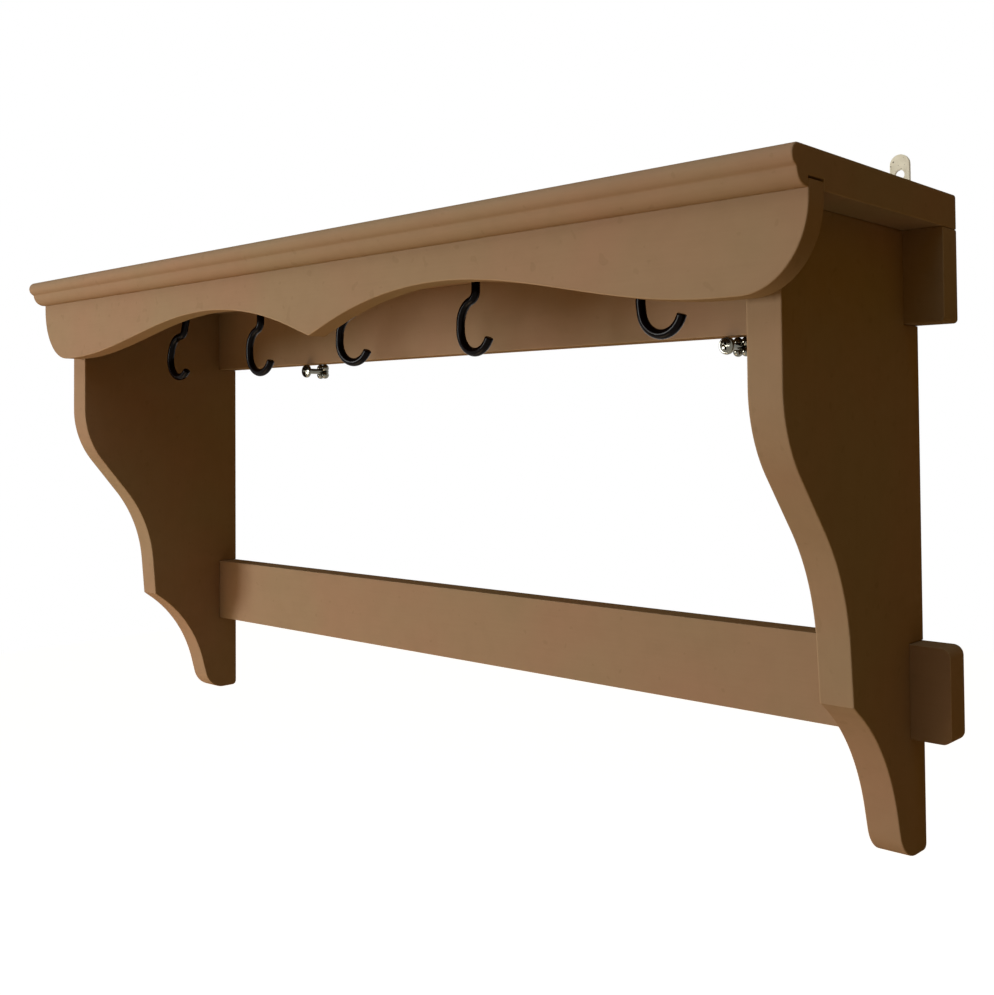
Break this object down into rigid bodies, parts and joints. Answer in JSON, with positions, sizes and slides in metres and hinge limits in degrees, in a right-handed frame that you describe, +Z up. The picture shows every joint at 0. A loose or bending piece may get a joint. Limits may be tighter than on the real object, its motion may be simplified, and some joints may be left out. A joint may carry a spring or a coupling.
{
  "type": "wall shelf",
  "caption": "Painted wooden wall shelf with moulded edge, scalloped apron, scrolled side brackets, two back rails and a row of black screw hooks.",
  "frame": {"origin": "middle of the line between the two hanging holes, in the plane of the wall", "axes": "+X to the right seen from the front, +Y into the wall, +Z up"},
  "size_m": [0.8, 0.2, 0.432],
  "materials": {
    "paint_brown": "satin brown paint",
    "hook_black": "gloss black coating",
    "zinc_plate": "yellowish zinc plating",
    "zinc_screws": "zinc plating",
    "chrome_fittings": "polished nickel",
    "dowel_beech": "raw beech"
  },
  "bodies": {
    "root": {"shelf_board": "paint_brown", "apron": "paint_brown", "bracket_left": "paint_brown", "bracket_right": "paint_brown", "upper_rail": "paint_brown", "lower_rail": "paint_brown", "hook_1": "hook_black", "hook_2": "hook_black", "hook_3": "hook_black", "hook_4": "hook_black", "hook_5": "hook_black", "hanger_plate_left": "zinc_plate", "hanger_plate_right": "zinc_plate", "plate_screws_left": "zinc_screws", "plate_screws_right": "zinc_screws", "wall_screw_left": "chrome_fittings", "wall_screw_right": "chrome_fittings", "wall_collar_left": "chrome_fittings", "wall_collar_right": "chrome_fittings", "bracket_dowels_left": "dowel_beech", "bracket_dowels_right": "dowel_beech", "apron_dowel_left": "dowel_beech", "apron_dowel_right": "dowel_beech", "upper_rail_screws_left": "zinc_screws", "upper_rail_screws_right": "zinc_screws", "lower_rail_screws_left": "zinc_screws", "lower_rail_screws_right": "zinc_screws", "rail_dowels": "dowel_beech"}
  },
  "joints": []
}
